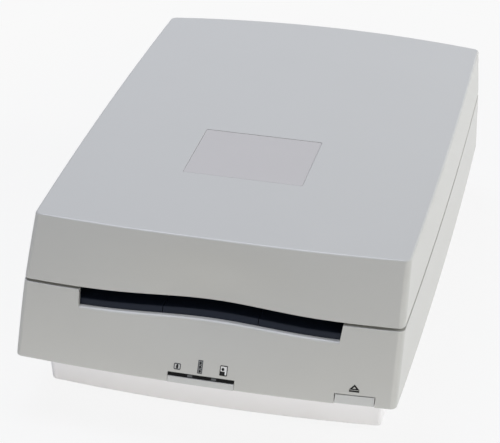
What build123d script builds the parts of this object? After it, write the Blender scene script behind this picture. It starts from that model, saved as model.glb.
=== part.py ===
from build123d import *
from math import acos, cos, exp, hypot, pi, radians, sin, sqrt, tan
import os

os.makedirs("parts", exist_ok=True)

# A desktop photo scanner: a leaning, scooped front with one wide slot, on an inset base.
# Millimetres. The front faces -Y, +X is the user's right, +Z is up and Z 0 is the table.

# Heights of the outside, from the table up
foot_height = 2.0
base_height = 28.0
lower_height = 36.3
cover_height = 30.2
cover_crown = 1.0

# Case walls, edges and slopes
wall = 2.4
case_floor = 2.2
parting_gap = 1.2
cover_step = 0.15
lower_draft = 0.9
cover_draft = 2.8
front_slope = 0.413
front_curve = 0.00214
front_bow = 4.0
back_bow = 9.9
side_bow = 2.4
rear_taper = 1.5
front_corner_radius = 3.5
rear_corner_radius = 5.0
top_edge_radius = 1.2
bottom_edge_radius = 0.5
rim_radius = 0.3
least_corner_radius = 1.0

# Tongue that closes the view through the parting gap
lip_gap = 1.0
lip_thickness = 1.4
lip_rise = 3.0
lip_root = 4.5

# Media slot and the scoop around it
slot_width = 139.7
slot_height = 8.2
slot_end_draft = 6.0
slot_edge_radius = 2.0
scoop_depth = 7.4
scoop_spread = 43.4
scoop_fade = 19.0

# Media guides behind the slot
guide_rise = 2.6
guide_thickness = 4.0
guide_gap = 0.4
guide_overlap = 1.0
guide_length = 50.0
guide_edge_radius = 1.2
slide_channel = 50.8
seam = 0.4
throat = 5.0
upper_guide_thickness = 1.5
upper_guide_setback = 38.0

# Base tray, feet and case screws
base_front_inset = 21.9
base_rear_inset = 12.0
base_wall = 2.5
base_floor = 2.5
base_bow = 4.5
base_corner_radius = 3.0
base_edge_radius = 1.0
base_draft = 4.0
base_bay = 12.5
foot_radius = 8.0
foot_inset = 18.0
foot_setback = 34.0
column_radius = 4.2
column_inset = 5.0
column_setback = 14.0
pad_margin = 1.2
pad_height = 8.0
screw_radius = 1.5
screw_head_radius = 2.8
screw_head_height = 2.0
screw_clearance = 0.2
screw_fit = 0.03
screw_bite = 6.0
counterbore_depth = 6.0

# Chassis plates, bars and deck
plate_margin = 3.25
plate_thickness = 2.0
drive_bay = 23.1
frame_setback = 38.0
frame_tail = 36.0
tab_length = 10.0
tab_width = 12.0
tab_inset = 10.0
bar_depth = 8.0
bar_height = 6.0
deck_thickness = 2.0
window_clearance = 1.0

# Rollers, bushes and pinch bearings
front_bay = 84.0
feed_radius = 8.0
roller_proud = 0.6
roller_length = 16.0
roller_count = 4
shaft_radius = 3.5
journal_radius = 2.5
journal_overhang = 1.5
running_clearance = 0.05
bush_wall = 1.2
bush_flange = 1.0
bush_flange_lip = 0.85
bush_fit = 0.02
end_play = 0.4
nip_gap = 0.3
pinch_radius = 9.5
pinch_shaft_radius = 2.0
pinch_block_width = 9.0
pinch_block_height = 14.0
pinch_flange = 1.5
pinch_flange_lip = 2.0
pinch_fit = 0.15
spring_length = 26.0
spring_width = 6.0
spring_thickness = 0.6

# Gear train and motor
gear_module = 1.0
feed_teeth = 32
idler_teeth = 26
pinion_teeth = 16
pressure_angle = 20.0
addendum = 0.9
dedendum = 1.25
backlash = 0.3
gear_width = 5.0
gear_clearance = 0.3
gear_hub_length = 1.2
gear_hub_radius = 4.5
gear_web_recess = 1.2
gear_rim = 2.2
stud_radius = 2.5
stud_head_radius = 4.2
stud_head_height = 1.6
motor_radius = 17.5
motor_length = 18.0
motor_shaft_radius = 1.5
motor_boss_radius = 5.5
motor_ear_reach = 6.0
motor_ear_width = 8.0
motor_ear_thickness = 2.0
motor_shaft_depth = 14.0

# Scan lamp, film lamp and scan glass
lamp_gap = 4.5
lamp_holder_depth = 24.0
lamp_holder_height = 12.0
lamp_holder_wall = 1.5
lamp_side_gap = 1.0
glass_margin = 1.5
glass_depth = 18.0
glass_ledge = 2.0
glass_fit = 0.2
lamp_radius = 1.6
ferrule_radius = 2.4
ferrule_length = 6.0
lamp_offset = 4.0
light_slit = 4.0
light_slit_margin = 12.0
film_housing_depth = 20.0
film_housing_height = 12.0
film_housing_wall = 1.5

# Optics on the base: mirror, lens and sensor
optics_gap = 5.5
optics_plate_thickness = 3.0
optics_front = 18.0
optics_tail = 4.0
mirror_rise = 14.0
mirror_depth = 24.0
mirror_thickness = 3.0
bracket_width = 6.0
lens_distance = 52.0
lens_radius = 10.0
lens_length = 26.0
lens_ring = 1.5
lens_ring_length = 3.0
lens_bore_radius = 7.0
lens_bore_depth = 4.0
lens_mount_width = 30.0
lens_mount_length = 16.0
lens_mount_cap = 3.0
sensor_distance = 38.0
sensor_board_width = 60.0
sensor_board_rise = 16.0
sensor_width = 44.0
sensor_height = 10.0
sensor_thickness = 3.0

# Main board and its sockets
board_gap = 7.0
board_depth = 44.0
board_margin = 3.0
board_clearance = 1.5
board_thickness = 1.6
board_standoff = 6.0
pillar_radius = 3.2
pillar_inset = 5.0
socket_length = 14.0
socket_proud = 0.3
socket_gap = 0.4
socket_recess = 9.0
power_width = 9.0
power_height = 11.0
power_bore_radius = 3.2
power_x = -30.0
data_width = 12.0
data_height = 11.0
data_wall = 1.4
data_x = 12.0
chip_size = 16.0
chip_height = 2.5
chip_pitch = 24.0
capacitor_radius = 4.0
capacitor_height = 10.0

# Front panel: indicator, lights and eject button
panel_setback = 18.0
panel_height = 14.0
panel_margin = 6.0
indicator_width = 35.0
indicator_height = 1.6
indicator_gap = 0.2
indicator_inset = 0.3
bezel_height = 2.8
bezel_depth = 5.2
light_count = 3
light_pitch = 12.4
light_radius = 1.0
light_length = 3.0
light_gap = 0.3
button_width = 20.1
button_height = 4.4
button_inset = 10.9
button_depth = 7.0
button_edge_radius = 0.4
button_gap = 0.4
button_travel = 1.2
stem_width = 10.0
stem_height = 1.8
switch_width = 7.0
switch_height = 3.2
switch_depth = 4.5
plunger_radius = 0.9
plunger_length = 3.6

# Hinge of the cover
hinge_radius = 3.5
hinge_gap = 0.5
hinge_spread = 60.0
knuckle_width = 12.0
lug_width = 5.0
knuckle_gap = 0.4
hinge_pin_radius = 1.5

# Bare plate on the top of the cover
badge_width = 66.0
badge_depth = 50.0
badge_x = -3.0
badge_setback = 126.1
badge_thickness = 0.6
badge_sink = 0.15
badge_gap = 0.15
badge_corner_radius = 0.6

# Spacing of the points that carry the front surface
front_step_x = 5.0
front_step_z = 4.0
front_margin = 12.0
front_tolerance = 0.02

# Worked out from the sizes above: heights
base_bottom = foot_height
case_bottom = base_bottom + base_height
parting = case_bottom + lower_height
case_top = parting + cover_height
lower_top = parting - parting_gap / 2
cover_bottom = parting + parting_gap / 2
tray_top = base_bottom + base_floor
flange_top = case_bottom + case_floor
slot_sill = parting - slot_height
deck_top = slot_sill + guide_rise
deck_bottom = deck_top - deck_thickness
guide_bottom = deck_top - guide_thickness
throat_top = deck_top + throat
upper_guide_top = throat_top + upper_guide_thickness
roller_z = deck_top + roller_proud - feed_radius
pinch_z = roller_z + feed_radius + nip_gap + pinch_radius
plate_top = pinch_z + pinch_block_height / 2

# Worked out: widths
channel_half = slot_width / 2 + plate_margin
plate_half = channel_half + plate_thickness
base_inner_half = plate_half + base_bay
base_half = base_inner_half + base_wall
case_half = plate_half + drive_bay + wall
cover_half = case_half - lower_height * tan(radians(lower_draft)) - cover_step
column_x = base_inner_half - column_inset
glass_half = slot_width / 2 - glass_margin
lamp_holder_half = channel_half - lamp_side_gap
optics_half = channel_half - motor_length - optics_gap
board_half = channel_half - board_margin

# Worked out: gear sizes and places across the drive
feed_pitch = gear_module * feed_teeth / 2
idler_pitch = gear_module * idler_teeth / 2
pinion_pitch = gear_module * pinion_teeth / 2
gear_inner_x = -(plate_half + gear_clearance + gear_hub_length)
gear_outer_x = gear_inner_x - gear_width
motor_z = roller_z - idler_pitch - pinion_pitch

# Worked out: depths, chained from the front edge to the back
scan_from_roller = feed_pitch + idler_pitch + motor_radius + lamp_gap + lamp_holder_depth / 2
board_from_scan = lens_distance + sensor_distance + board_gap + board_depth
base_rear = front_bay + scan_from_roller + board_from_scan + board_clearance + base_wall
case_depth = base_rear + base_rear_inset
front_edge = -(case_depth + hinge_gap + 2 * hinge_radius) / 2
back_edge = front_edge + case_depth
front_roller_y = front_edge + front_bay
front_idler_y = front_roller_y + feed_pitch + idler_pitch
middle_idler_y = front_idler_y + 2 * idler_pitch
rear_idler_y = middle_idler_y + 2 * idler_pitch
rear_roller_y = rear_idler_y + idler_pitch + feed_pitch
roller_places = (front_roller_y, rear_roller_y)
idler_places = (front_idler_y, middle_idler_y, rear_idler_y)
scan_y = front_roller_y + scan_from_roller
lens_y = scan_y + lens_distance
sensor_y = lens_y + sensor_distance
board_front = sensor_y + board_gap
board_back = board_front + board_depth
base_front = front_edge + base_front_inset
base_back = front_edge + base_rear
frame_front = front_edge + frame_setback
frame_rear = rear_roller_y + frame_tail
guide_end = front_edge + guide_length
hinge_y = back_edge + hinge_gap + hinge_radius
hinge_z = parting
optics_top = tray_top + optics_plate_thickness
axis_z = optics_top + mirror_rise
board_bottom = tray_top + board_standoff
board_top = board_bottom + board_thickness
socket_face = base_back + (board_top - base_bottom) * tan(radians(base_draft))
panel_y = front_edge + panel_setback
button_right = case_half - button_inset
button_left = button_right - button_width
button_x = (button_left + button_right) / 2
button_z = case_bottom + button_gap
stem_z = flange_top + stem_height
bezel_top = case_bottom + indicator_gap + bezel_height
indicator_bottom = bezel_top + indicator_gap
indicator_top = indicator_bottom + indicator_height
roller_pitch = slot_width / roller_count
roller_xs = [(i - (roller_count - 1) / 2) * roller_pitch for i in range(roller_count)]
light_xs = [(i - (light_count - 1) / 2) * light_pitch for i in range(light_count)]


def save(name, *pieces):
    """Write one node, made of one or more solids."""
    solids = [solid for piece in pieces for solid in piece.solids()]
    shape = solids[0] if len(solids) == 1 else Compound(solids)
    export_step(shape, f"parts/{name}.step")


def block(x, y, z):
    """A box from pairs of limits along X, Y and Z."""
    box = Box(x[1] - x[0], y[1] - y[0], z[1] - z[0])
    return Pos(sum(x) / 2, sum(y) / 2, sum(z) / 2) * box


def rod_x(radius, x, y, z):
    """A round bar along X between a pair of limits."""
    return Pos(sum(x) / 2, y, z) * Rot(0, 90, 0) * Cylinder(radius, abs(x[1] - x[0]))


def rod_y(radius, x, y, z):
    """A round bar along Y between a pair of limits."""
    return Pos(x, sum(y) / 2, z) * Rot(90, 0, 0) * Cylinder(radius, abs(y[1] - y[0]))


def rod_z(radius, x, y, z):
    """A round bar along Z between a pair of limits."""
    return Pos(x, y, sum(z) / 2) * Cylinder(radius, abs(z[1] - z[0]))


def around(centre, half):
    """Limits at the same distance on both sides of a centre."""
    return (centre - half, centre + half)


def front_y(x, z, inset):
    """Depth of the front face: it leans and bows, and is scooped around the slot."""
    rise = z - case_bottom
    slope = front_slope + 2 * front_curve * rise
    lean = front_slope * rise + front_curve * rise**2
    bow = front_bow * (x / case_half) ** 2
    scoop = scoop_depth * exp(-((x / scoop_spread) ** 2) - ((z - parting) / scoop_fade) ** 2)
    return front_edge + lean + bow + scoop + inset * hypot(1, slope)


def steps(start, end, step):
    """Evenly spaced values from start to end, about a step apart."""
    count = round((end - start) / step)
    return [start + (end - start) * i / count for i in range(count + 1)]


def ahead_of_front(inset):
    """All that lies ahead of the front face, or of its copy set in by a distance."""
    half = case_half + front_margin
    columns = steps(-half, half, front_step_x)
    rows = steps(case_bottom - front_margin, case_top + front_margin, front_step_z)
    points = [[Vector(x, front_y(x, z, inset), z) for x in columns] for z in rows]
    face = Face.make_surface_from_array_of_points(points, tol=front_tolerance)
    reach = front_y(half, case_top + front_margin, inset) - front_edge + 2 * front_margin
    return extrude(face, amount=reach, dir=(0, -1, 0))


def case_plan(half, inset):
    """Outline of the case from above, with bowed sides and back and a straight front."""
    front_half = half - inset
    back_half = front_half - rear_taper
    front = front_edge - front_margin
    corner = back_edge - back_bow - inset
    middle = (front + corner) / 2
    side = (front_half + back_half) / 2 + side_bow
    outline = [
        Line((-front_half, front), (front_half, front)),
        ThreePointArc((front_half, front), (side, middle), (back_half, corner)),
        ThreePointArc((back_half, corner), (0, back_edge - inset), (-back_half, corner)),
        ThreePointArc((-back_half, corner), (-side, middle), (-front_half, front)),
    ]
    face = make_face(outline)
    rear_corners = face.vertices().filter_by(lambda vertex: vertex.Y > middle)
    return fillet(rear_corners, max(rear_corner_radius - inset, least_corner_radius))


def case_form(half, inset, z, draft):
    """A drafted block with the case's outline, cut to its front face."""
    narrowing = (z[1] - z[0]) * tan(radians(draft))
    lower = Pos(0, 0, z[0]) * case_plan(half, inset)
    upper = Pos(0, 0, z[1]) * case_plan(half, inset + narrowing)
    return loft([lower, upper], ruled=True) - ahead_of_front(inset)


def case_ring(half, outer, inner, z, draft):
    """A wall that follows the case between two insets."""
    return case_form(half, outer, z, draft) - case_form(half, inner, z, draft)


def front_corners(form, height):
    """The two standing edges where the front meets the sides."""
    limit = (front_edge + back_edge) / 2
    return [
        edge
        for edge in form.edges()
        if edge.bounding_box().size.Z > height / 2 and edge.center().Y < limit
    ]


def base_form(inset, z):
    """The base's outline, widening upwards, between two heights."""
    half = base_half - inset
    corner = base_front + base_bow + inset
    front = base_front + inset
    back = base_back - inset
    outline = [
        ThreePointArc((-half, corner), (0, front), (half, corner)),
        Polyline((half, corner), (half, back), (-half, back), (-half, corner)),
    ]
    plan = make_face(outline)
    plan = fillet(plan.vertices(), max(base_corner_radius - inset, least_corner_radius))
    grow = (z[0] - base_bottom) * tan(radians(base_draft))
    plan = offset(plan, grow) if grow > 0 else plan
    return extrude(Pos(0, 0, z[0]) * plan, z[1] - z[0], taper=-base_draft)


def column_places():
    """Where the four case screws stand."""
    front = base_front + base_bow + base_wall + column_setback
    back = base_back - base_wall - column_setback
    return [(x, y) for x in (-column_x, column_x) for y in (front, back)]


def pillar_places():
    """Where the four screws of the main board stand."""
    xs = (-board_half + pillar_inset, board_half - pillar_inset)
    ys = (board_front + pillar_inset, board_back - pillar_inset)
    return [(x, y) for x in xs for y in ys]


def tab_places():
    """Middle of each foot tab of the side plates along X and Y."""
    x = channel_half - tab_length / 2
    ys = (frame_front + tab_inset, frame_rear - tab_inset)
    return [(side * x, y) for side in (-1, 1) for y in ys]


def hinge_sides():
    """Limits along X of the cover's knuckle and of the two lugs beside it, for both hinges."""
    hinges = []
    for centre in (-hinge_spread, hinge_spread):
        knuckle = around(centre, knuckle_width / 2)
        left = (knuckle[0] - knuckle_gap - lug_width, knuckle[0] - knuckle_gap)
        right = (knuckle[1] + knuckle_gap, knuckle[1] + knuckle_gap + lug_width)
        hinges.append((knuckle, left, right))
    return hinges


def socket_opening(x, width, height):
    """Limits of the way for a socket through the back of the base."""
    return block(
        around(x, width / 2 + socket_gap),
        (board_back, base_back + base_height),
        (board_top - socket_gap, board_top + height + socket_gap),
    )


def make_lower_case():
    """The case below the parting line, with the slot, the panel openings and the hinge lugs."""
    case = case_form(case_half, 0, (case_bottom, lower_top), lower_draft)
    case = fillet(front_corners(case, lower_height), front_corner_radius)
    bottom_edges = [e for e in case.edges() if e.bounding_box().max.Z < case_bottom + lip_gap]
    case = fillet(bottom_edges, bottom_edge_radius)
    case -= slot_cutter(0)
    case = fillet(sill_edge(case), slot_edge_radius)
    case = fillet(rim_edges(case), rim_radius)
    arm_start = back_edge - back_bow - wall
    for _, left, right in hinge_sides():
        for lug in (left, right):
            case += rod_x(hinge_radius, lug, hinge_y, hinge_z)
            case += block(lug, (arm_start, hinge_y), (hinge_z - hinge_radius, lower_top))
            case -= rod_x(hinge_pin_radius + screw_fit, lug, hinge_y, hinge_z)
    case -= case_form(case_half, wall, (flange_top, parting + wall), lower_draft)
    lip_inner = wall + lip_gap + lip_thickness
    root = (lower_top - lip_root, lower_top)
    case += case_ring(cover_half, wall / 2, lip_inner, root, lower_draft)
    tongue = (lower_top, parting + lip_rise)
    case += case_ring(cover_half, wall + lip_gap, lip_inner, tongue, cover_draft)
    case -= base_form(base_wall, (case_bottom - wall, flange_top + wall))
    for x, y in column_places():
        side = 1 if x > 0 else -1
        pad = rod_z(column_radius + pad_margin, x, y, (case_bottom, flange_top + pad_height))
        reach = sorted((x, side * (base_half + base_wall)))
        pad += block(reach, around(y, column_radius), (case_bottom, flange_top))
        hole = (case_bottom - case_floor, case_bottom + screw_bite + screw_clearance)
        case += pad
        case -= rod_z(screw_radius + screw_fit, x, y, hole)
    case -= slot_cutter(0)
    case -= slot_cutter(guide_overlap + seam) - ahead_of_front(wall)
    case -= block(
        (button_left - button_gap, button_right + button_gap),
        (front_edge - wall, front_edge + button_depth + button_travel + button_gap),
        (case_bottom - wall, button_z + button_height + button_gap),
    )
    case -= block(
        around(0, indicator_width / 2 + indicator_gap),
        (front_edge - wall, front_edge + bezel_depth + indicator_gap),
        (case_bottom - wall, indicator_top + indicator_gap),
    )
    save("lower_case", case)


def slot_cutter(overlap):
    """The slot's opening, or a wider one, narrowing to its sill and run back through the tongue."""
    top = parting + lip_rise + wall
    low = slot_width / 2 - slot_height * tan(radians(slot_end_draft)) + overlap
    high = low + (top - slot_sill) * tan(radians(slot_end_draft))
    face = make_face(Polyline((-high, top), (-low, slot_sill), (low, slot_sill), (high, top), close=True))
    return Pos(0, guide_end, 0) * extrude(Plane.XZ * face, guide_length + front_margin)


def sill_edge(case):
    """The lower edge of the slot on the outside of the front wall."""
    at_sill = case.edges().filter_by(lambda edge: abs(edge.center().Z - slot_sill) < seam)
    return at_sill.filter_by(lambda edge: edge.length > slot_width / 2).sort_by(Axis.Y)[0]


def rim_edges(case):
    """The outer edges of the case's top, up to the slot on both sides."""
    top = case.faces().sort_by(Axis.Z)[-1]
    return [edge for edge in top.edges() if abs(edge.center().X) > slot_width / 2 or edge.center().Y > 0]


def make_cover():
    """The hinged cover with its bare plate on top."""
    cover = case_form(cover_half, 0, (cover_bottom, case_top), cover_draft)
    low = case_top - cover_crown
    front = (front_edge, low)
    back = (back_edge, low)
    crown = [
        ThreePointArc(front, ((front_edge + back_edge) / 2, case_top), back),
        Polyline(back, (back_edge, case_bottom), (front_edge, case_bottom), front),
    ]
    cover = cover & extrude(Plane.YZ * make_face(crown), 2 * case_half, both=True)
    cover = fillet(front_corners(cover, cover_height), front_corner_radius)
    cover = fillet(cover.faces().sort_by(Axis.Z)[-1].edges(), top_edge_radius)
    cover = fillet(cover.faces().sort_by(Axis.Z)[0].edges(), rim_radius)
    arm_start = back_edge - back_bow - wall
    for knuckle, _, _ in hinge_sides():
        cover += rod_x(hinge_radius, knuckle, hinge_y, hinge_z)
        cover += block(knuckle, (arm_start, hinge_y), (cover_bottom, hinge_z + hinge_radius))
        cover -= rod_x(hinge_pin_radius + running_clearance, knuckle, hinge_y, hinge_z)
    inside = (cover_bottom - wall, case_top - cover_crown - wall)
    cover -= case_form(cover_half, wall, inside, cover_draft)
    place = (badge_x, front_edge + badge_setback)
    recess_floor = case_top - badge_sink - badge_thickness
    recess_size = (badge_width + 2 * badge_gap, badge_depth + 2 * badge_gap)
    recess = RectangleRounded(*recess_size, badge_corner_radius + badge_gap)
    cover -= extrude(Pos(*place, recess_floor) * recess, cover_crown + wall)
    plate = extrude(RectangleRounded(badge_width, badge_depth, badge_corner_radius), badge_thickness)
    save("top_cover", cover)
    save("badge_plate", Pos(*place, recess_floor) * plate)


def make_base():
    """The inset tray that carries the chassis, with its feet and the case screws."""
    tray = base_form(0, (base_bottom, case_bottom))
    tray = fillet(tray.faces().sort_by(Axis.Z)[0].edges(), base_edge_radius)
    tray -= base_form(base_wall, (tray_top, case_bottom + wall))
    seat = base_bottom + counterbore_depth
    screws = []
    for x, y in column_places():
        tray += rod_z(column_radius, x, y, (base_bottom, case_bottom))
        tray -= rod_z(screw_radius + screw_clearance, x, y, (base_bottom, case_bottom))
        tray -= rod_z(screw_head_radius + screw_clearance, x, y, (base_bottom, seat))
        screw = rod_z(screw_head_radius, x, y, (seat - screw_head_height, seat))
        screws.append(screw + rod_z(screw_radius, x, y, (seat, case_bottom + screw_bite)))
    for x, y in pillar_places():
        tray += rod_z(pillar_radius, x, y, (base_bottom, board_bottom))
        tray -= rod_z(screw_radius + screw_fit, x, y, (board_bottom - screw_bite, board_bottom))
    for x, y in tab_places():
        tray -= rod_z(screw_radius + screw_fit, x, y, (base_bottom, tray_top))
    tray -= socket_opening(power_x, power_width, power_height)
    tray -= socket_opening(data_x, data_width, data_height)
    foot_x = base_half - foot_inset
    foot_ys = (base_front + base_bow + foot_setback, base_back - foot_setback)
    places = [(x, y) for x in (-foot_x, foot_x) for y in foot_ys]
    feet = [rod_z(foot_radius, x, y, (0, foot_height)) for x, y in places]
    save("base_tray", tray)
    save("rubber_feet", *feet)
    save("case_screws", *screws)


def make_hinge_pins():
    """One pin through each hinge."""
    pins = []
    for _, left, right in hinge_sides():
        pins.append(rod_x(hinge_pin_radius, (left[0], right[1]), hinge_y, hinge_z))
    save("hinge_pins", *pins)


def bush_radius():
    """Outside of the bush in a side plate."""
    return journal_radius + running_clearance + bush_wall


def make_side_plate(name, side):
    """One of the two steel plates that carry the rollers."""
    across = sorted((side * channel_half, side * plate_half))
    plate = block(across, (frame_front, frame_rear), (tray_top, plate_top))
    for y in roller_places:
        plate -= rod_x(bush_radius() + bush_fit, across, y, roller_z)
        slot = around(y, pinch_block_width / 2 + pinch_fit)
        plate -= block(across, slot, (pinch_z - pinch_block_height / 2 - nip_gap, plate_top))
    for x, y in tab_places():
        if x * side > 0:
            tab_z = (tray_top, tray_top + plate_thickness)
            plate += block(around(x, tab_length / 2), around(y, tab_width / 2), tab_z)
            plate -= rod_z(screw_radius + screw_clearance, x, y, tab_z)
    if side < 0:
        for y in idler_places:
            plate -= rod_x(screw_radius + screw_fit, across, y, roller_z)
        plate -= rod_x(motor_boss_radius + screw_clearance, across, front_idler_y, motor_z)
        for y in motor_screw_places():
            plate -= rod_x(screw_radius + screw_fit, across, y, motor_z)
    save(name, plate)


def motor_screw_places():
    """Where the two motor screws stand along Y."""
    reach = motor_radius + motor_ear_reach / 2
    return (front_idler_y - reach, front_idler_y + reach)


def make_chassis_screws():
    """Screws of the plates' tabs, of the main board and of the motor."""
    screws = []
    for x, y in tab_places():
        seat = tray_top + plate_thickness
        screw = rod_z(screw_head_radius, x, y, (seat, seat + screw_head_height))
        screws.append(screw + rod_z(screw_radius, x, y, (base_bottom + screw_clearance, seat)))
    for x, y in pillar_places():
        screw = rod_z(screw_head_radius, x, y, (board_top, board_top + screw_head_height))
        end = board_bottom - screw_bite + screw_clearance
        screws.append(screw + rod_z(screw_radius, x, y, (end, board_top)))
    for y in motor_screw_places():
        seat = -channel_half + motor_ear_thickness
        screw = rod_x(screw_head_radius, (seat, seat + screw_head_height), y, motor_z)
        screws.append(screw + rod_x(screw_radius, (-plate_half, seat), y, motor_z))
    save("chassis_screws", *screws)


def make_cross_bars():
    """Bars that tie the side plates, one under the guides and one under the deck's end."""
    across = (-channel_half, channel_half)
    front = block(across, (guide_end - bar_depth, guide_end), (guide_bottom - bar_height, guide_bottom))
    rear = block(across, (frame_rear - bar_depth, frame_rear), (deck_bottom - bar_height, deck_bottom))
    save("cross_bars", front, rear)


def edge_notches(plate, y, half, depth, z):
    """Cut both ends of a plate clear of a flange on the side plates."""
    for side in (-1, 1):
        across = sorted((side * (channel_half - depth), side * channel_half))
        plate -= block(across, around(y, half), z)
    return plate


def roller_windows(plate, y, radius, z):
    """Cut the openings for one row of rollers."""
    for x in roller_xs:
        along = around(x, roller_length / 2 + window_clearance)
        plate -= block(along, around(y, radius + window_clearance), z)
    return plate


def make_deck():
    """The floor of the media path with the scan glass let into it."""
    z = (deck_bottom, deck_top)
    across = (-channel_half, channel_half)
    deck = block(across, (guide_end + seam, frame_rear), z)
    flange_half = bush_radius() + bush_flange_lip + window_clearance
    for y in roller_places:
        deck = roller_windows(deck, y, feed_radius, z)
        deck = edge_notches(deck, y, flange_half, bush_flange + end_play, z)
    opening = around(scan_y, glass_depth / 2 + glass_fit)
    deck -= block(around(0, glass_half + glass_fit), opening, z)
    glass = block(around(0, glass_half), around(scan_y, glass_depth / 2), z)
    save("transport_deck", deck)
    save("scan_glass", glass)


def make_lower_guides():
    """Three sills behind the slot: two sides and the slide channel between them."""
    inner = slide_channel / 2
    outer = slot_width / 2 + guide_overlap
    spans = {
        "lower_guide_left": (-outer, -inner - seam / 2),
        "lower_guide_center": (-inner + seam / 2, inner - seam / 2),
        "lower_guide_right": (inner + seam / 2, outer),
    }
    ahead = ahead_of_front(wall + guide_gap)
    for name, span in spans.items():
        guide = block(span, (front_edge, guide_end), (guide_bottom, deck_top)) - ahead
        top_front = [
            edge
            for edge in guide.edges()
            if edge.bounding_box().min.Z > deck_top - seam and edge.center().Y < frame_front - seam
            and edge.bounding_box().size.X > seam
        ]
        save(name, fillet(top_front, guide_edge_radius))


def make_upper_guide():
    """The roof of the media path with the film diffuser let into it."""
    z = (throat_top, upper_guide_top)
    across = (-channel_half, channel_half)
    guide = block(across, (front_edge + upper_guide_setback, frame_rear), z)
    flange_half = pinch_block_width / 2 + pinch_flange_lip + window_clearance
    for y in roller_places:
        guide = roller_windows(guide, y, pinch_radius, z)
        guide = edge_notches(guide, y, flange_half, pinch_flange + end_play, z)
    depth = film_housing_depth - film_housing_wall
    guide -= block(around(0, glass_half + glass_fit), around(scan_y, depth / 2 + glass_fit), z)
    diffuser = block(around(0, glass_half), around(scan_y, depth / 2), z)
    save("upper_guide", guide)
    save("film_diffuser", diffuser)


def lamp_tube(half, y, z):
    """A straight lamp with a ferrule at each end."""
    lamp = rod_x(lamp_radius, (-half, half), y, z)
    lamp += rod_x(ferrule_radius, (-half, ferrule_length - half), y, z)
    lamp += rod_x(ferrule_radius, (half - ferrule_length, half), y, z)
    return lamp


def make_lamps():
    """The lamp below the scan glass and the film lamp above the media path."""
    bottom = deck_bottom - lamp_holder_height
    holder = block(
        around(0, lamp_holder_half), around(scan_y, lamp_holder_depth / 2), (bottom, deck_bottom)
    )
    trough_half = lamp_holder_half - lamp_holder_wall
    trough = around(scan_y, glass_depth / 2 - glass_ledge)
    holder -= block(around(0, trough_half), trough, (bottom + lamp_holder_wall, deck_bottom))
    slit = around(0, slot_width / 2 - light_slit_margin)
    holder -= block(slit, around(scan_y, light_slit / 2), (bottom, deck_bottom))
    lamp_z = bottom + lamp_holder_height / 2
    save("lamp_holder", holder)
    save("scan_lamp", lamp_tube(trough_half, scan_y - lamp_offset, lamp_z))

    top = upper_guide_top + film_housing_height
    housing = block(
        around(0, lamp_holder_half), around(scan_y, film_housing_depth / 2), (upper_guide_top, top)
    )
    inner_half = lamp_holder_half - film_housing_wall
    inner = around(scan_y, film_housing_depth / 2 - film_housing_wall)
    housing -= block(around(0, inner_half), inner, (upper_guide_top, top - film_housing_wall))
    save("film_lamp_housing", housing)
    save("film_lamp", lamp_tube(inner_half, scan_y, upper_guide_top + film_housing_height / 2))


def make_bearings():
    """Bushes of the feed shafts, sliding blocks of the pinch rollers and their leaf springs."""
    bushes = []
    blocks = []
    springs = []
    low = pinch_z - pinch_block_height / 2
    for side in (-1, 1):
        plate = sorted((side * channel_half, side * plate_half))
        flange = sorted((side * (channel_half - bush_flange), side * channel_half))
        wing = sorted((side * (channel_half - pinch_flange), side * channel_half))
        middle = side * (channel_half + plate_half) / 2
        for y in roller_places:
            bush = rod_x(bush_radius(), plate, y, roller_z)
            bush += rod_x(bush_radius() + bush_flange_lip, flange, y, roller_z)
            bore = (min(plate + flange), max(plate + flange))
            bushes.append(bush - rod_x(journal_radius + running_clearance, bore, y, roller_z))
            slider = block(plate, around(y, pinch_block_width / 2), (low, plate_top))
            wing_half = pinch_block_width / 2 + pinch_flange_lip
            slider += block(wing, around(y, wing_half), (low, plate_top))
            bore = (min(plate + wing), max(plate + wing))
            blocks.append(slider - rod_x(pinch_shaft_radius + running_clearance, bore, y, pinch_z))
            along = (y - spring_length + pinch_block_width / 2, y + pinch_block_width / 2)
            leaf = (plate_top, plate_top + spring_thickness)
            springs.append(block(around(middle, spring_width / 2), along, leaf))
    save("feed_bushes", *bushes)
    save("pinch_bearings", *blocks)
    save("pinch_springs", *springs)


def gear_face(teeth, phase):
    """Outline of a spur gear, its first tooth turned to an angle in degrees."""
    pitch = gear_module * teeth / 2
    base = pitch * cos(radians(pressure_angle))
    radii = (pitch - dedendum * gear_module, pitch, pitch + addendum * gear_module)

    def involute(radius):
        angle = acos(min(base / radius, 1.0))
        return tan(angle) - angle

    thickness = pi / (2 * teeth) - backlash / (4 * pitch)
    halves = [thickness + involute(pitch) - involute(radius) for radius in radii]
    rising = [(radius, -half) for radius, half in zip(radii, halves)]
    falling = [(radius, half) for radius, half in reversed(list(zip(radii, halves)))]
    points = []
    for tooth in range(teeth):
        centre = radians(phase) + 2 * pi * tooth / teeth
        for radius, turn in rising + falling:
            points.append((radius * cos(centre + turn), radius * sin(centre + turn)))
    return make_face(Polyline(*points, close=True))


def mesh_phase(teeth, driver_teeth, driver_phase, direction):
    """Angle that sets a gear's tooth gaps on the teeth of the gear it meets."""
    ahead = driver_teeth * (driver_phase - direction) / 360
    return direction + 180 - (360 / teeth) * (0.5 + ahead)


def gear(teeth, phase, y, z, bore):
    """A spur gear with a hub towards the plate and a recessed web outside."""
    pitch = gear_module * teeth / 2
    body = Pos(gear_outer_x, y, z) * extrude(Plane.YZ * gear_face(teeth, phase), gear_width)
    hub = (gear_outer_x, gear_inner_x + gear_hub_length)
    rim = pitch - dedendum * gear_module - gear_rim
    if rim > gear_hub_radius + gear_rim:
        recess = (gear_outer_x, gear_outer_x + gear_web_recess)
        body -= rod_x(rim, recess, y, z)
    body += rod_x(gear_hub_radius, hub, y, z)
    if bore > 0:
        body -= rod_x(bore, hub, y, z)
    return body


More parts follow.
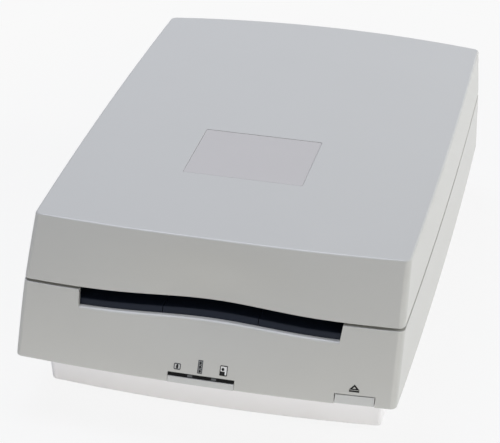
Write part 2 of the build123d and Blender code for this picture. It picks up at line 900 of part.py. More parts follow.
def make_drive():
    """The gear train outside the left plate, with the idlers' shoulder screws and the motor."""
    feed_phase = 0.0
    idler_phase = mesh_phase(idler_teeth, feed_teeth, feed_phase, 0.0)
    middle_phase = mesh_phase(idler_teeth, idler_teeth, idler_phase, 0.0)
    rear_phase = mesh_phase(idler_teeth, idler_teeth, middle_phase, 0.0)
    last_phase = mesh_phase(feed_teeth, idler_teeth, rear_phase, 0.0)
    pinion_phase = mesh_phase(pinion_teeth, idler_teeth, idler_phase, -90.0)
    idler_bore = stud_radius + running_clearance
    save("front_feed_gear", gear(feed_teeth, feed_phase, front_roller_y, roller_z, journal_radius))
    save("front_idler", gear(idler_teeth, idler_phase, front_idler_y, roller_z, idler_bore))
    save("middle_idler", gear(idler_teeth, middle_phase, middle_idler_y, roller_z, idler_bore))
    save("rear_idler", gear(idler_teeth, rear_phase, rear_idler_y, roller_z, idler_bore))
    save("rear_feed_gear", gear(feed_teeth, last_phase, rear_roller_y, roller_z, journal_radius))

    pinion = gear(pinion_teeth, pinion_phase, front_idler_y, motor_z, 0)
    shaft_end = -channel_half + motor_shaft_depth
    pinion += rod_x(motor_shaft_radius, (gear_outer_x, shaft_end), front_idler_y, motor_z)
    save("motor_pinion", pinion)

    studs = []
    head_x = gear_outer_x - gear_clearance
    for y in idler_places:
        stud = rod_x(stud_head_radius, (head_x - stud_head_height, head_x), y, roller_z)
        stud += rod_x(stud_radius, (head_x, -plate_half), y, roller_z)
        studs.append(stud + rod_x(screw_radius, (-plate_half, -channel_half), y, roller_z))
    save("idler_studs", *studs)

    can = rod_x(motor_radius, (-channel_half, motor_length - channel_half), front_idler_y, motor_z)
    can += rod_x(motor_boss_radius, (-plate_half, -channel_half), front_idler_y, motor_z)
    ear = (-channel_half, -channel_half + motor_ear_thickness)
    reach = around(front_idler_y, motor_radius + motor_ear_reach)
    can += block(ear, reach, around(motor_z, motor_ear_width / 2))
    bore = (-plate_half, shaft_end + gear_clearance)
    can -= rod_x(motor_shaft_radius + running_clearance, bore, front_idler_y, motor_z)
    for y in motor_screw_places():
        can -= rod_x(screw_radius + screw_clearance, ear, y, motor_z)
    save("stepper_motor", can)


def make_rollers():
    """Driven feed shafts with rubber sleeves below, pinch rollers above."""
    for place, y in zip(("front", "rear"), roller_places):
        body = channel_half - bush_flange - end_play
        shaft = rod_x(shaft_radius, (-body, body), y, roller_z)
        shaft += rod_x(journal_radius, (gear_outer_x, plate_half + journal_overhang), y, roller_z)
        sleeves = []
        pinch = rod_x(pinch_shaft_radius, around(0, plate_half + journal_overhang), y, pinch_z)
        for x in roller_xs:
            span = around(x, roller_length / 2)
            sleeve = rod_x(feed_radius, span, y, roller_z) - rod_x(shaft_radius, span, y, roller_z)
            sleeves.append(sleeve)
            pinch += rod_x(pinch_radius, span, y, pinch_z)
        save(f"{place}_feed_shaft", shaft)
        save(f"{place}_feed_rollers", *sleeves)
        save(f"{place}_pinch_roller", pinch)


def make_optics():
    """Fold mirror, lens and line sensor on a plate under the deck."""
    plate_y = (scan_y - optics_front, sensor_y + optics_tail)
    plate = block(around(0, optics_half), plate_y, (tray_top, optics_top))
    reach = mirror_depth / 2 / sqrt(2)
    back = mirror_thickness / sqrt(2)
    upper = (scan_y - reach, axis_z + reach)
    lower = (scan_y + reach, axis_z - reach)
    upper_back = (upper[0] - back, upper[1] - back)
    lower_back = (lower[0] - back, lower[1] - back)
    mirror_half = optics_half - bracket_width / 2
    section = make_face(Polyline(upper, lower, lower_back, upper_back, close=True))
    mirror = extrude(Plane.YZ * section, mirror_half, both=True)
    feet = [(lower_back[0], optics_top), (upper_back[0], optics_top)]
    wedge = make_face(Polyline(upper_back, lower_back, *feet, close=True))
    brackets = []
    for x in (-optics_half, optics_half - bracket_width):
        brackets.append(Pos(x, 0, 0) * extrude(Plane.YZ * wedge, bracket_width))

    mount_y = around(lens_y, lens_mount_length / 2)
    mount_top = axis_z + lens_radius + lens_mount_cap
    mount = block(around(0, lens_mount_width / 2), mount_y, (optics_top, mount_top))
    mount -= rod_y(lens_radius + running_clearance, 0, mount_y, axis_z)
    barrel_y = around(lens_y, lens_length / 2)
    barrel = rod_y(lens_radius, 0, barrel_y, axis_z)
    ring = (barrel_y[0], barrel_y[0] + lens_ring_length)
    barrel += rod_y(lens_radius + lens_ring, 0, ring, axis_z)
    barrel -= rod_y(lens_bore_radius, 0, (barrel_y[0], barrel_y[0] + lens_bore_depth), axis_z)
    barrel -= rod_y(lens_bore_radius, 0, (barrel_y[1] - lens_bore_depth, barrel_y[1]), axis_z)

    board_y = (sensor_y, sensor_y + board_thickness)
    board = block(around(0, sensor_board_width / 2), board_y, (optics_top, axis_z + sensor_board_rise))
    chip_y = (sensor_y - sensor_thickness, sensor_y)
    chip = block(around(0, sensor_width / 2), chip_y, around(axis_z, sensor_height / 2))
    save("optics_plate", plate)
    save("mirror_brackets", *brackets)
    save("fold_mirror", mirror)
    save("lens_mount", mount)
    save("lens_barrel", barrel)
    save("sensor_board", board)
    save("sensor_chip", chip)


def make_main_board():
    """The control board on its pillars, with its components and the two rear sockets."""
    board = block(around(0, board_half), (board_front, board_back), (board_bottom, board_top))
    for x, y in pillar_places():
        board -= rod_z(screw_radius + screw_clearance, x, y, (board_bottom, board_top))
    parts = []
    chip_y = (board_front + board_back - socket_length) / 2
    for x in (-chip_pitch, 0, chip_pitch):
        chip_z = (board_top, board_top + chip_height)
        parts.append(block(around(x, chip_size / 2), around(chip_y, chip_size / 2), chip_z))
    for x in (-2 * chip_pitch, 2 * chip_pitch):
        parts.append(rod_z(capacitor_radius, x, chip_y, (board_top, board_top + capacitor_height)))
    socket_y = (board_back - socket_length, socket_face + socket_proud)
    recess_y = (socket_y[1] - socket_recess, socket_y[1])
    jack = block(around(power_x, power_width / 2), socket_y, (board_top, board_top + power_height))
    jack -= rod_y(power_bore_radius, power_x, recess_y, board_top + power_height / 2)
    port = block(around(data_x, data_width / 2), socket_y, (board_top, board_top + data_height))
    inner_z = (board_top + data_wall, board_top + data_height - data_wall)
    port -= block(around(data_x, data_width / 2 - data_wall), recess_y, inner_z)
    save("main_board", board)
    save("board_components", *parts)
    save("power_jack", jack)
    save("data_port", port)


def make_front_panel():
    """Indicator strip and its tab, lights, board and the eject button with its switch."""
    ahead = ahead_of_front(0)
    across = around(0, indicator_width / 2)
    bezel_y = (front_edge, front_edge + bezel_depth)
    bezel = block(across, bezel_y, (case_bottom + indicator_gap, bezel_top)) - ahead
    lights_front = panel_y - light_length
    strip_y = (front_edge, lights_front - light_gap)
    strip = block(across, strip_y, (indicator_bottom, indicator_top))
    strip -= ahead_of_front(indicator_inset)
    light_z = (indicator_bottom + indicator_top) / 2
    lights = [rod_y(light_radius, x, (lights_front, panel_y), light_z) for x in light_xs]

    board_x = (-indicator_width / 2 - panel_margin, button_right)
    board_y = (panel_y, panel_y + board_thickness)
    board = block(board_x, board_y, (flange_top, flange_top + panel_height))
    switch_z = around(stem_z, switch_height / 2)
    switch_front = panel_y - switch_depth
    switch = block(around(button_x, switch_width / 2), (switch_front, panel_y), switch_z)
    plunger_front = switch_front - button_travel - button_gap
    plunger_y = (plunger_front, plunger_front + plunger_length)
    bore_y = (switch_front, plunger_y[1] + button_travel + button_gap)
    switch -= rod_y(plunger_radius + running_clearance, button_x, bore_y, stem_z)
    plunger = rod_y(plunger_radius, button_x, plunger_y, stem_z)

    cap_y = (front_edge, front_edge + button_depth)
    cap = block((button_left, button_right), cap_y, (button_z, button_z + button_height)) - ahead
    cap = fillet(cap.faces().sort_by(Axis.Y)[0].edges(), button_edge_radius)
    stem_y = (cap_y[1], plunger_front)
    cap += block(around(button_x, stem_width / 2), stem_y, around(stem_z, stem_height / 2))
    save("indicator_bezel", bezel)
    save("indicator_strip", strip)
    save("indicator_lights", *lights)
    save("panel_board", board)
    save("eject_switch", switch)
    save("switch_plunger", plunger)
    save("eject_button", cap)


make_lower_case()
make_cover()
make_base()
make_hinge_pins()
make_side_plate("left_side_plate", -1)
make_side_plate("right_side_plate", 1)
make_chassis_screws()
make_cross_bars()
make_deck()
make_lower_guides()
make_upper_guide()
make_lamps()
make_bearings()
make_drive()
make_rollers()
make_optics()
make_main_board()
make_front_panel()
print("case depth", round(case_depth, 2), "width", round(2 * case_half, 2), "height", case_top)
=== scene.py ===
import math

import bmesh
import bpy
from bpy.props import FloatProperty, FloatVectorProperty, PointerProperty
from bpy.types import Operator, Panel, PropertyGroup
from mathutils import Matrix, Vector
from mathutils.bvhtree import BVHTree


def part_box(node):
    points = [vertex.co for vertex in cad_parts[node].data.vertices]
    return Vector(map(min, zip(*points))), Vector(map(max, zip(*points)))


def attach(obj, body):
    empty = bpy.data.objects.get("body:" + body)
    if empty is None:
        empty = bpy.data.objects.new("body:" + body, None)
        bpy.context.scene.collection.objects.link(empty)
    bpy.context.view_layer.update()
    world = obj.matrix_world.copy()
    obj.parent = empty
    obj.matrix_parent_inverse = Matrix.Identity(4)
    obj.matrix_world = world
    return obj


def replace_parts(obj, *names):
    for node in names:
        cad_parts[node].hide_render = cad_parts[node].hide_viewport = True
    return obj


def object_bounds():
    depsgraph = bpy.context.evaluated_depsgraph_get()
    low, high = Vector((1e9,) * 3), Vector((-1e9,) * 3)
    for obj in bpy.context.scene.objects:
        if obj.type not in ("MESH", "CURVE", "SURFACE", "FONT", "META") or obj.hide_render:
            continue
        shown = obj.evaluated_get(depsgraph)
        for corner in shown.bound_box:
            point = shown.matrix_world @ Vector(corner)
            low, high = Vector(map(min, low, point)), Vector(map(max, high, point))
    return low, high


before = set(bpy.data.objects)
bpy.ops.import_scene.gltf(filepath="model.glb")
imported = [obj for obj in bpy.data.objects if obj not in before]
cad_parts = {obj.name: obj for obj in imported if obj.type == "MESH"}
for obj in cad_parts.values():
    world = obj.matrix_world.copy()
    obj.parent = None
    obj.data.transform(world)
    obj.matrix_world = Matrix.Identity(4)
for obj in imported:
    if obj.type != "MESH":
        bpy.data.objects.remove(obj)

bl_info = {
    "name": "Photo scanner",
    "version": (1, 0, 0),
    "blender": (4, 5, 0),
    "location": "View3D > Sidebar > Scanner",
    "description": "Finishes, printed signs and a studio for a desktop photo scanner",
    "category": "Object",
}

CAD_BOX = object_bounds()
MM = 0.001
TINY = 1e-6
CAST_MARGIN = 100 * MM
GLOSS_SPREAD = 0.1
SCREW_SECTORS = 24
SHARP_ANGLE = math.radians(35)
SIGN_CELL = 0.5 * MM
SMALL_OVAL_POINTS = 12


def linear(hex_colour):
    """An sRGB hex colour as linear red, green, blue and alpha."""
    values = []
    for start in (1, 3, 5):
        share = int(hex_colour[start:start + 2], 16) / 255
        low = share / 12.92
        high = ((share + 0.055) / 1.055) ** 2.4
        values.append(low if share <= 0.04045 else high)
    return (*values, 1.0)


def darker(colour, share):
    """The same colour with a share of its light taken away."""
    return (*[value * (1 - share) for value in colour[:3]], 1.0)


def add(tree, kind, inputs=None, **settings):
    """Add a shader node with its settings, its socket values and its links."""
    node = tree.nodes.new(kind)
    for name, value in settings.items():
        setattr(node, name, value)
    for socket, value in (inputs or {}).items():
        if isinstance(value, bpy.types.NodeSocket):
            tree.links.new(value, node.inputs[socket])
        else:
            node.inputs[socket].default_value = value
    return node


def start_material(name):
    """An empty material with its node tree and the object's own coordinates in metres."""
    material = bpy.data.materials.new(name)
    material.use_nodes = True
    material.node_tree.nodes.clear()
    tree = material.node_tree
    return material, tree, add(tree, "ShaderNodeTexCoord").outputs["Object"]


def finish_material(material, tree, sockets):
    """Close a material with one principled shader."""
    shader = add(tree, "ShaderNodeBsdfPrincipled", sockets)
    add(tree, "ShaderNodeOutputMaterial", {"Surface": shader.outputs["BSDF"]})
    return material


def surface(name, colour, roughness, grain_mm, relief_mm, patch_mm=40, shade=0.05,
            stretch=(1, 1, 1), sockets=None):
    """A material with patchy colour and a fine grain that moves its gloss and relief."""
    material, tree, place = start_material(name)
    patches = add(tree, "ShaderNodeTexNoise",
                  {"Vector": place, "Scale": 1 / (patch_mm * MM), "Detail": 3.0})
    tint = add(tree, "ShaderNodeMix", {
        "Factor": patches.outputs["Fac"], 6: colour, 7: darker(colour, shade),
    }, data_type="RGBA")
    run = add(tree, "ShaderNodeMapping", {"Vector": place, "Scale": stretch})
    grain = add(tree, "ShaderNodeTexNoise",
                {"Vector": run.outputs["Vector"], "Scale": 1 / (grain_mm * MM), "Detail": 2.0})
    gloss = add(tree, "ShaderNodeMapRange", {
        "Value": grain.outputs["Fac"],
        "To Min": roughness * (1 - GLOSS_SPREAD),
        "To Max": roughness * (1 + GLOSS_SPREAD),
    })
    relief = add(tree, "ShaderNodeBump",
                 {"Height": grain.outputs["Fac"], "Strength": 1.0, "Distance": relief_mm * MM})
    return finish_material(material, tree, {
        "Base Color": tint.outputs[2],
        "Roughness": gloss.outputs["Result"],
        "Normal": relief.outputs["Normal"],
        **(sockets or {}),
    })


def dress(material, *names):
    """Give CAD nodes a finish."""
    for name in names:
        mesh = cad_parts[name].data
        mesh.materials.clear()
        mesh.materials.append(material)


def moulded_case_abs(colour):
    # ABS moulded in a spark-eroded tool: an even satin that softens every highlight.
    # The grain is drawn at 0.8 mm, coarser than the real one, so that it shows.
    return surface("moulded_case_abs", colour, roughness=0.32, grain_mm=0.8, relief_mm=0.005,
                   patch_mm=60, shade=0.03)


def moulded_base_abs(colour):
    # The same ABS in a lighter batch, with a slightly coarser texture under the hand.
    return surface("moulded_base_abs", colour, roughness=0.58, grain_mm=1.0, relief_mm=0.008,
                   patch_mm=50, shade=0.04)


def moulded_button_abs(colour):
    # ABS from a polished cavity: smoother than the case, so the edges catch a thin light.
    return surface("moulded_button_abs", colour, roughness=0.4, grain_mm=0.6, relief_mm=0.003,
                   patch_mm=15, shade=0.03)


def polyester_label_film(colour):
    # Matt polyester film on a flat seat: an even sheet with a faint woven tooth.
    return surface("polyester_label_film", colour, roughness=0.45, grain_mm=0.4, relief_mm=0.002,
                   patch_mm=30, shade=0.03)


def slate_guide_abs(colour):
    # Dark ABS worn smooth by paper: a low sheen on the sill, with fine marks along the path.
    return surface("slate_guide_abs", colour, roughness=0.5, grain_mm=0.6, relief_mm=0.004,
                   patch_mm=12, shade=0.2, stretch=(1, 0.1, 1), sockets={"Specular IOR Level": 0.2})


def black_chassis_abs():
    # Black ABS that keeps stray light out: matt, with a dusty grain.
    return surface("black_chassis_abs", linear("#16171a"), roughness=0.62, grain_mm=0.7, relief_mm=0.008,
                   patch_mm=20, shade=0.25, sockets={"Specular IOR Level": 0.25})


def smoked_polycarbonate():
    # Smoked polycarbonate behind an anti-glare skin: near black, with hardly a reflection.
    return surface("smoked_polycarbonate", linear("#060708"), roughness=0.35, grain_mm=1.5, relief_mm=0.001,
                   patch_mm=8, shade=0.2, sockets={"Specular IOR Level": 0.1})


def frosted_polystyrene():
    # Frosted light guides seen unlit: a dim milky face, paler than the smoked strip round it.
    return surface("frosted_polystyrene", linear("#484b4d"), roughness=0.4, grain_mm=0.3, relief_mm=0.003,
                   patch_mm=2, shade=0.15)


def screen_printed_ink(name, colour):
    # A thick layer of ink pressed through a mesh: dense, matt and a little uneven.
    return surface(f"screen_printed_{name}_ink", colour, roughness=0.6, grain_mm=0.2, relief_mm=0.004,
                   patch_mm=3, shade=0.2, sockets={"Specular IOR Level": 0.2})


def moulded_foot_rubber():
    # Grey thermoplastic rubber: soft, dry and speckled with dust.
    return surface("moulded_foot_rubber", linear("#4b4d50"), roughness=0.8, grain_mm=0.6, relief_mm=0.02,
                   patch_mm=6, shade=0.25)


def ground_roller_rubber():
    # Rubber ground round: rings of fine grit marks that run with the turn.
    return surface("ground_roller_rubber", linear("#2b2c2e"), roughness=0.78, grain_mm=0.5, relief_mm=0.02,
                   patch_mm=6, shade=0.2, stretch=(3, 1, 1))


def zinc_plated_sheet():
    # Zinc plated sheet: a bluish spangled grey with a dull gleam.
    return surface("zinc_plated_sheet", linear("#b4b8bc"), roughness=0.36, grain_mm=1.2, relief_mm=0.003,
                   patch_mm=9, shade=0.15, sockets={"Metallic": 1.0})


def ground_shaft_steel():
    # Bright ground steel: fine rings round the shaft that stretch its highlight.
    return surface("ground_shaft_steel", linear("#c9ccd0"), roughness=0.2, grain_mm=0.3, relief_mm=0.002,
                   patch_mm=20, shade=0.06, stretch=(6, 1, 1), sockets={"Metallic": 1.0})


def blackened_screw_steel():
    # Black oxide on steel: dark, a little oily, with bare glints.
    return surface("blackened_screw_steel", linear("#55585c"), roughness=0.4, grain_mm=0.5, relief_mm=0.004,
                   patch_mm=2, shade=0.3, sockets={"Metallic": 1.0})


def rolled_spring_steel():
    # Hard rolled strip: straight mill lines along its length.
    return surface("rolled_spring_steel", linear("#a8a49c"), roughness=0.28, grain_mm=0.4, relief_mm=0.002,
                   patch_mm=8, shade=0.1, stretch=(4, 0.2, 1), sockets={"Metallic": 1.0})


def moulded_gear_acetal():
    # Natural acetal: milky, waxy white with a soft edge light.
    return surface("moulded_gear_acetal", linear("#e6e3d8"), roughness=0.32, grain_mm=0.8, relief_mm=0.003,
                   patch_mm=10, shade=0.06, sockets={"Subsurface Weight": 0.15, "Subsurface Scale": 0.001})


def moulded_roller_acetal():
    # Grey acetal, a little glossier on its rolling faces.
    return surface("moulded_roller_acetal", linear("#9b9da0"), roughness=0.34, grain_mm=0.7, relief_mm=0.004,
                   patch_mm=10, shade=0.1, stretch=(3, 1, 1))


def moulded_bearing_nylon():
    # Cream nylon blocks: dry, with faint flow marks.
    return surface("moulded_bearing_nylon", linear("#d8d2bf"), roughness=0.5, grain_mm=0.9, relief_mm=0.006,
                   patch_mm=6, shade=0.1)


def sintered_bronze():
    # Pressed bronze powder holding oil: brown gold, pitted and dull.
    return surface("sintered_bronze", linear("#9a7446"), roughness=0.48, grain_mm=0.3, relief_mm=0.01,
                   patch_mm=3, shade=0.25, sockets={"Metallic": 1.0})


def turned_brass():
    # Turned brass: yellow metal with rings left by the tool.
    return surface("turned_brass", linear("#c9a557"), roughness=0.28, grain_mm=0.3, relief_mm=0.003,
                   patch_mm=4, shade=0.12, stretch=(5, 1, 1), sockets={"Metallic": 1.0})


def painted_motor_steel():
    # Black enamel on a drawn can: smooth, with a slight ripple.
    return surface("painted_motor_steel", linear("#2a2b2e"), roughness=0.34, grain_mm=2.5, relief_mm=0.01,
                   patch_mm=12, shade=0.15, sockets={"Coat Weight": 0.2})


def cast_aluminium():
    # Bead-blasted aluminium casting: pale grey, finely dimpled.
    return surface("cast_aluminium", linear("#b9bbbd"), roughness=0.48, grain_mm=0.5, relief_mm=0.01,
                   patch_mm=14, shade=0.1, sockets={"Metallic": 1.0})


def anodised_lens_barrel():
    # Black anodised aluminium turned on a lathe: dark satin rings.
    return surface("anodised_lens_barrel", linear("#26272a"), roughness=0.4, grain_mm=0.3, relief_mm=0.004,
                   patch_mm=5, shade=0.2, stretch=(1, 5, 1), sockets={"Metallic": 1.0})


def opal_acrylic():
    # Opal acrylic: white with a deep, even diffusion.
    return surface("opal_acrylic", linear("#eceeee"), roughness=0.3, grain_mm=1.0, relief_mm=0.002,
                   patch_mm=20, shade=0.03, sockets={"Subsurface Weight": 0.4, "Subsurface Scale": 0.002})


def phosphor_lamp_glass():
    # A tube coated inside with phosphor: chalky white behind clear glass.
    return surface("phosphor_lamp_glass", linear("#f1f2ee"), roughness=0.16, grain_mm=0.8, relief_mm=0.001,
                   patch_mm=10, shade=0.04, sockets={"Coat Weight": 0.6})


def silvered_mirror():
    # First-surface mirror: nearly all light, with a trace of haze.
    return surface("silvered_mirror", linear("#e4e7ea"), roughness=0.04, grain_mm=3.0, relief_mm=0.0005,
                   patch_mm=25, shade=0.03, sockets={"Metallic": 1.0})


def float_glass():
    # Clear float glass with a faint green depth.
    return surface("float_glass", linear("#dfeae6"), roughness=0.03, grain_mm=4.0, relief_mm=0.0005,
                   patch_mm=30, shade=0.02, sockets={"Transmission Weight": 1.0, "IOR": 1.52})


def moulded_epoxy():
    # Black epoxy round a chip: dead matt, with a sandy skin.
    return surface("moulded_epoxy", linear("#1d1e20"), roughness=0.66, grain_mm=0.4, relief_mm=0.008,
                   patch_mm=6, shade=0.2)


def moulded_socket_nylon():
    # Glass-filled black nylon: matt, with pale fibre flecks.
    return surface("moulded_socket_nylon", linear("#1a1b1d"), roughness=0.55, grain_mm=0.5, relief_mm=0.008,
                   patch_mm=4, shade=0.3)


def nickel_plated_shell():
    # Nickel plate on a folded shell: warm, bright grey.
    return surface("nickel_plated_shell", linear("#b9b6ae"), roughness=0.24, grain_mm=0.8, relief_mm=0.002,
                   patch_mm=5, shade=0.1, sockets={"Metallic": 1.0})


def green_solder_mask():
    # Glass laminate under green lacquer: paler lines where copper runs beneath it.
    material, tree, place = start_material("green_solder_mask")
    tracks = add(tree, "ShaderNodeTexBrick", {
        "Vector": place, "Scale": 1.0, "Brick Width": 9 * MM, "Row Height": 2.2 * MM, "Mortar Size": 0.3 * MM,
        "Color1": linear("#14532c"), "Color2": linear("#174f2f"), "Mortar": linear("#2f7a48"),
    })
    ripple = add(tree, "ShaderNodeTexNoise", {"Vector": place, "Scale": 1 / (2.5 * MM)})
    relief = add(tree, "ShaderNodeBump", {"Height": ripple.outputs["Fac"], "Distance": 0.004 * MM})
    return finish_material(material, tree, {
        "Base Color": tracks.outputs["Color"], "Roughness": 0.3, "Normal": relief.outputs["Normal"],
    })


def surface_tree(node):
    """The outer skin of a CAD node for casting points onto it."""
    return BVHTree.FromObject(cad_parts[node], bpy.context.evaluated_depsgraph_get())


def cut_into_cells(mesh, axis, cell):
    """Cut a flat sheet along one axis so that it can follow a curved surface."""
    places = [vert.co[axis] for vert in mesh.verts]
    normal = Vector([float(i == axis) for i in range(3)])
    count = int((max(places) - min(places)) / cell)
    for i in range(count):
        everything = mesh.verts[:] + mesh.edges[:] + mesh.faces[:]
        place = min(places) + (i + 0.5) * cell
        bmesh.ops.bisect_plane(mesh, geom=everything, plane_co=normal * place, plane_no=normal)


def raised(name, node, body, polygons, height, material):
    """A thin layer that lies on the front of a node: each polygon is given by x and z."""
    skin = surface_tree(node)
    start = CAD_BOX[0].y - CAST_MARGIN
    mesh = bmesh.new()
    for polygon in polygons:
        mesh.faces.new([mesh.verts.new((x, start, z)) for x, z in polygon])
    cut_into_cells(mesh, 0, SIGN_CELL)
    cut_into_cells(mesh, 2, SIGN_CELL)
    for vert in mesh.verts:
        hit = skin.ray_cast(vert.co, Vector((0, 1, 0)))[0]
        if hit is None:
            raise RuntimeError(f"{name} has a point that misses {node}")
        vert.co = hit - Vector((0, height, 0))
    back = bmesh.ops.extrude_face_region(mesh, geom=mesh.faces[:], use_keep_orig=True)["geom"]
    for part in back:
        if isinstance(part, bmesh.types.BMVert):
            part.co.y += 2 * height
    bmesh.ops.triangulate(mesh, faces=mesh.faces[:])
    bmesh.ops.recalc_face_normals(mesh, faces=mesh.faces[:])
    data = bpy.data.meshes.new(name)
    mesh.to_mesh(data)
    mesh.free()
    data.materials.append(material)
    piece = bpy.data.objects.new(name, data)
    bpy.context.scene.collection.objects.link(piece)
    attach(piece, body)


def bar(x, z):
    """A rectangle from its limits along X and Z."""
    return [(x[0], z[0]), (x[1], z[0]), (x[1], z[1]), (x[0], z[1])]


def limits(middle, size):
    """Both ends of a size about its middle."""
    return (middle - size / 2, middle + size / 2)


def oval(x, z, width, height, count=16):
    """A round or oval spot as a polygon."""
    turns = [2 * math.pi * i / count for i in range(count)]
    return [(x + width / 2 * math.cos(turn), z + height / 2 * math.sin(turn)) for turn in turns]


def rounded(x, z, width, height, corner, count=4):
    """A rectangle about its middle, with rounded corners."""
    points = []
    for quarter, (side, up) in enumerate(((1, 1), (-1, 1), (-1, -1), (1, -1))):
        middle = (x + side * (width / 2 - corner), z + up * (height / 2 - corner))
        for i in range(count + 1):
            turn = math.pi / 2 * (quarter + i / count)
            points.append((middle[0] + corner * math.cos(turn), middle[1] + corner * math.sin(turn)))
    return points


def band(outer, inner):
    """The strip between two outlines with the same number of points."""
    quads = []
    for i in range(len(outer)):
        j = (i + 1) % len(outer)
        quads.append([outer[i], outer[j], inner[j], inner[i]])
    return quads


def loose_solids(node):
    """The points of each separate solid in a CAD node."""
    mesh = bmesh.new()
    mesh.from_mesh(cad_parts[node].data)
    bmesh.ops.remove_doubles(mesh, verts=mesh.verts, dist=TINY)
    seen = set()
    solids = []
    for start in mesh.verts:
        if start in seen:
            continue
        seen.add(start)
        waiting = [start]
        points = []
        while waiting:
            vert = waiting.pop()
            points.append(vert.co.copy())
            for edge in vert.link_edges:
                other = edge.other_vert(vert)
                if other not in seen:
                    seen.add(other)
                    waiting.append(other)
        solids.append(points)
    mesh.free()
    return solids


def cross_reach(turn, length):
    """Distance from the middle to the edge of a cross recess in one direction."""
    width = length * math.tan(2 * math.pi / SCREW_SECTORS)
    across = max(abs(math.cos(turn)), TINY)
    up = max(abs(math.sin(turn)), TINY)
    return max(min(length / across, width / up), min(width / across, length / up))


def add_screw(mesh, points):
    """A pan-head screw with a cross recess, where a plain CAD screw stands."""
    low = Vector([min(p[i] for p in points) for i in range(3)])
    high = Vector([max(p[i] for p in points) for i in range(3)])
    size = high - low
    axis = max(range(3), key=lambda i: size[i])
    others = [i for i in range(3) if i != axis]
    middle = (low + high) / 2

    def radius_of(point):
        return math.hypot(*(point[i] - middle[i] for i in others))

    head_radius = max(radius_of(p) for p in points)
    rim_radius = 0.9 * head_radius
    wide = [p[axis] for p in points if radius_of(p) > rim_radius]
    upward = sum(wide) / len(wide) > middle[axis]
    seat = min(wide) if upward else max(wide)
    crown = max(wide) if upward else min(wide)
    end = low[axis] if upward else high[axis]
    shank = min(radius_of(p) for p in points)
    height = crown - seat

    inward = 1 if (seat - end) * height > 0 else -1
    tip_height = 0.3 * height * inward
    rim_height = 0.45 * height
    shoulder_radius = 0.88 * head_radius
    shoulder_height = 0.85 * height
    crown_radius = 0.7 * head_radius
    recess = 0.62 * head_radius
    recess_floor = 0.75 * recess
    recess_depth = 0.6 * height
    rings = [
        (lambda turn: shank / 2, end),
        (lambda turn: shank, end + tip_height),
        (lambda turn: shank, seat),
        (lambda turn: head_radius, seat),
        (lambda turn: head_radius, seat + rim_height),
        (lambda turn: shoulder_radius, seat + shoulder_height),
        (lambda turn: crown_radius, crown),
        (lambda turn: cross_reach(turn, recess), crown),
        (lambda turn: cross_reach(turn, recess_floor), crown - recess_depth),
    ]
    loops = []
    for reach, along in rings:
        loop = []
        for i in range(SCREW_SECTORS):
            turn = 2 * math.pi * i / SCREW_SECTORS
            place = middle.copy()
            place[axis] = along
            place[others[0]] += reach(turn) * math.cos(turn)
            place[others[1]] += reach(turn) * math.sin(turn)
            loop.append(mesh.verts.new(place))
        loops.append(loop)
    for inner, outer in zip(loops, loops[1:]):
        for i in range(SCREW_SECTORS):
            j = (i + 1) % SCREW_SECTORS
            mesh.faces.new((inner[i], inner[j], outer[j], outer[i]))
    mesh.faces.new(loops[0])
    mesh.faces.new(loops[-1])


def screw_set(name, node, body, material):
    """Detailed screws in place of a node of plain ones."""
    mesh = bmesh.new()
    for points in loose_solids(node):
        add_screw(mesh, points)
    bmesh.ops.recalc_face_normals(mesh, faces=mesh.faces)
    data = bpy.data.meshes.new(name)
    mesh.to_mesh(data)
    mesh.free()
    data.materials.append(material)
    data.shade_smooth()
    data.set_sharp_from_angle(angle=SHARP_ANGLE)
    piece = bpy.data.objects.new(name, data)
    bpy.context.scene.collection.objects.link(piece)
    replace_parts(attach(piece, body), node)


def colour_property(name, description, hex_colour):
    """A colour setting from an sRGB hex colour."""
    return FloatVectorProperty(name=name, description=description, default=linear(hex_colour),
                               size=4, subtype="COLOR", min=0, max=1)


def length_property(name, description, millimetres):
    """A length setting from millimetres."""
    return FloatProperty(name=name, description=description, default=millimetres * MM, unit="LENGTH",
                         precision=5)


class ScannerColours(PropertyGroup):
    """Colours that tell one batch of scanners from another."""

    case: colour_property("Case", "Colour of the lower case and the cover", "#bfbfba")
    base: colour_property("Base", "Colour of the inset base", "#f5f4f4")
    button: colour_property("Button", "Colour of the eject button and the indicator's tab", "#c2c3c0")
    label: colour_property("Label", "Colour of the bare plate on the cover", "#bbb8b4")
    guide: colour_property("Guide", "Colour of the sills behind the slot", "#141b28")
    ink: colour_property("Ink", "Black of the printed signs", "#0b0c0d")
    grey_ink: colour_property("Grey ink", "Grey of the printed signs", "#56585a")
    pale_ink: colour_property("Pale ink", "Paper of the print sign", "#e8e9e7")
    mount_ink: colour_property("Mount ink", "Mount of the slide sign", "#cccdcb")
    window_ink: colour_property("Window ink", "Windows of the film sign", "#b4b6b5")


